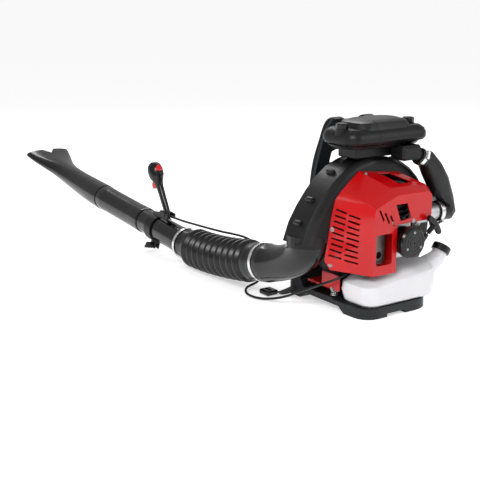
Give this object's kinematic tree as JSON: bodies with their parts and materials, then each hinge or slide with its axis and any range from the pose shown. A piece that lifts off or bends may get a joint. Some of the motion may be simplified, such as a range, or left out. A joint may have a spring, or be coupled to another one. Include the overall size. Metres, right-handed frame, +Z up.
{
  "type": "backpack leaf blower",
  "caption": "Backpack leaf blower: two-stroke engine and scroll fan on a carrying frame with shoulder straps, blowing through a flexible pipe to a hand-held blowpipe.",
  "frame": {"origin": "on the ground below the crankshaft, at the middle foot's underside, midway across the back plate", "axes": "+Z up, +Y forward, the way the wearer faces and the blowpipe points, and +X to the wearer's right; the crankshaft lies along Y"},
  "size_m": [0.4784, 1.6302, 0.458],
  "materials": {
    "housing_black": "fine-grained black moulded plastic",
    "gloss_black": "smooth glossy black moulded plastic",
    "base_grey": "matt dark grey moulded plastic",
    "cover_red": "glossy red moulded plastic",
    "tank_white": "translucent natural white blow-moulded plastic",
    "rubber_black": "smooth black rubber",
    "fabric_black": "black woven webbing and padding",
    "clamp_steel": "bright plated steel strip",
    "cast_aluminium": "as-cast aluminium alloy",
    "engine_black": "heat-proof black paint on cast aluminium fins",
    "dark_steel": "dark machined and heat-tinted steel",
    "button_red": "satin red moulded plastic",
    "paper_element": "pleated filter paper in a foam rim",
    "primer_clear": "clear soft plastic dome",
    "ceramic_white": "glazed white ceramic with steel ends"
  },
  "bodies": {
    "chassis": {"back_frame": "base_grey", "back_pad": "fabric_black", "base_frame": "base_grey", "carburettor": "cast_aluminium", "carburettor_insulator": "rubber_black", "crankcase": "cast_aluminium", "cylinder": "engine_black", "elbow_clamp": "clamp_steel", "engine_bracket": "cover_red", "engine_cover": "cover_red", "filter_base": "housing_black", "filter_element": "paper_element", "frame_strut_left": "base_grey", "frame_strut_right": "base_grey", "fuel_line": "rubber_black", "fuel_tank": "tank_white", "intake_clamp_lower": "clamp_steel", "intake_clamp_upper": "clamp_steel", "intake_elbow": "rubber_black", "intake_guard": "housing_black", "isolator_spring_left": "clamp_steel", "isolator_spring_right": "clamp_steel", "lower_strap": "fabric_black", "muffler": "dark_steel", "outlet_elbow": "gloss_black", "piston": "cast_aluminium", "plug_cap": "rubber_black", "primer_bulb": "primer_clear", "shoulder_strap_left": "fabric_black", "shoulder_strap_right": "fabric_black", "spark_plug": "ceramic_white", "starter_housing": "gloss_black", "strap_buckle": "rubber_black", "throttle_cable": "rubber_black", "volute_front": "housing_black", "volute_rear": "housing_black"},
    "rotor": {"crankshaft": "dark_steel", "flywheel": "dark_steel", "fan_impeller": "housing_black"},
    "reel": {"starter_reel": "housing_black"},
    "pull": {"pull_handle": "gloss_black", "starter_rope": "fabric_black"},
    "cleaner_lid": {"filter_cover": "housing_black"},
    "knob_left": {"filter_knob_left": "rubber_black"},
    "knob_right": {"filter_knob_right": "rubber_black"},
    "tank_cap": {"fuel_cap": "rubber_black"},
    "choke": {"choke_lever": "rubber_black"},
    "throttle_valve": {"throttle_lever": "dark_steel"},
    "bellows": {"flexible_pipe": "rubber_black", "throttle_cable_bellows": "rubber_black"},
    "swivel": {"swivel_pipe": "gloss_black", "pipe_clamp": "clamp_steel", "throttle_cable_pipe": "rubber_black"},
    "handle_collar": {"handle_clamp": "housing_black"},
    "collar_knob": {"clamp_knob": "housing_black"},
    "handle": {"handle_arm": "gloss_black"},
    "trigger": {"throttle_trigger": "button_red"},
    "button": {"stop_button": "button_red"},
    "straight": {"straight_pipe": "gloss_black"},
    "tip": {"nozzle": "gloss_black"}
  },
  "joints": [
    {"name": "rotor_spin", "type": "hinge", "parent": "chassis", "child": "rotor", "pos_m": [0, 0, 0.178], "axis": [0, 1, 0], "continuous": true},
    {"name": "reel_turn", "type": "hinge", "parent": "chassis", "child": "reel", "pos_m": [0, 0, 0.178], "axis": [0, 1, 0], "range_deg": [-810, 0]},
    {"name": "starter_pull", "type": "slide", "parent": "chassis", "child": "pull", "axis": [0.7547, 0, 0.6561], "range_m": [0, 0.35], "stiffness_N_per_m": 20, "springref_m": -0.5},
    {"name": "lid_lift", "type": "slide", "parent": "chassis", "child": "cleaner_lid", "axis": [0, 0, 1], "range_m": [0, 0.1]},
    {"name": "left_knob_turn", "type": "hinge", "parent": "cleaner_lid", "child": "knob_left", "pos_m": [-0.11, -0.066, 0.44], "axis": [0, 0, 1], "range_deg": [0, 720]},
    {"name": "right_knob_turn", "type": "hinge", "parent": "cleaner_lid", "child": "knob_right", "pos_m": [0.102, -0.066, 0.44], "axis": [0, 0, 1], "range_deg": [0, 720]},
    {"name": "cap_turn", "type": "hinge", "parent": "chassis", "child": "tank_cap", "pos_m": [0.157, -0.14, 0.12], "axis": [0.5736, 0, 0.8191], "range_deg": [0, 360]},
    {"name": "choke_turn", "type": "hinge", "parent": "chassis", "child": "choke", "pos_m": [0.106, -0.1423, 0.226], "axis": [0, 1, 0], "range_deg": [-60, 0]},
    {"name": "throttle_turn", "type": "hinge", "parent": "chassis", "child": "throttle_valve", "pos_m": [0.098, -0.0997, 0.226], "axis": [0, 1, 0], "range_deg": [-70, 0]},
    {"name": "pipe_yaw", "type": "hinge", "parent": "chassis", "child": "bellows", "pos_m": [-0.19, 0.23, 0.078], "axis": [0, 0, 1], "range_deg": [-20, 20], "deforming": ["flexible_pipe", "throttle_cable_bellows"]},
    {"name": "pipe_pitch", "type": "hinge", "parent": "bellows", "child": "swivel", "pos_m": [-0.19, 0.4, 0.057], "axis": [1, 0, 0], "range_deg": [-15, 30], "deforming": ["throttle_cable_pipe"]},
    {"name": "collar_turn", "type": "hinge", "parent": "swivel", "child": "handle_collar", "pos_m": [-0.19, 0.476, 0.057], "axis": [0, 0.9947, 0.1028], "range_deg": [-25, 25]},
    {"name": "collar_knob_turn", "type": "hinge", "parent": "handle_collar", "child": "collar_knob", "pos_m": [-0.20133, 0.65655, 0.02206], "axis": [0.9781, 0.0214, -0.2068], "range_deg": [0, 360]},
    {"name": "handle_tilt", "type": "hinge", "parent": "handle_collar", "child": "handle", "pos_m": [-0.19, 0.596, 0.1225], "axis": [1, 0, 0], "range_deg": [-15, 20]},
    {"name": "trigger_squeeze", "type": "hinge", "parent": "handle", "child": "trigger", "pos_m": [-0.19, 0.66102, 0.21496], "axis": [1, 0, 0], "range_deg": [-25, 0], "stiffness_Nm_per_rad": 0.3, "springref_deg": 17.19},
    {"name": "button_press", "type": "slide", "parent": "handle", "child": "button", "axis": [0, 0.8701, -0.4929], "range_m": [0, 0.003], "stiffness_N_per_m": 400, "springref_m": -0.002},
    {"name": "straight_pipe_turn", "type": "hinge", "parent": "swivel", "child": "straight", "pos_m": [-0.19, 0.72, 0.08223], "axis": [0, 0.9947, 0.1028], "range_deg": [0, 25]},
    {"name": "nozzle_turn", "type": "hinge", "parent": "straight", "child": "tip", "pos_m": [-0.19, 0.985, 0.10962], "axis": [0, 0.9947, 0.1028], "range_deg": [0, 25]}
  ],
  "couplings": [
    {"joint": "reel_turn", "follows": "starter_pull", "rad_per_m": -40},
    {"joint": "throttle_turn", "follows": "trigger_squeeze", "ratio": 2.8}
  ]
}
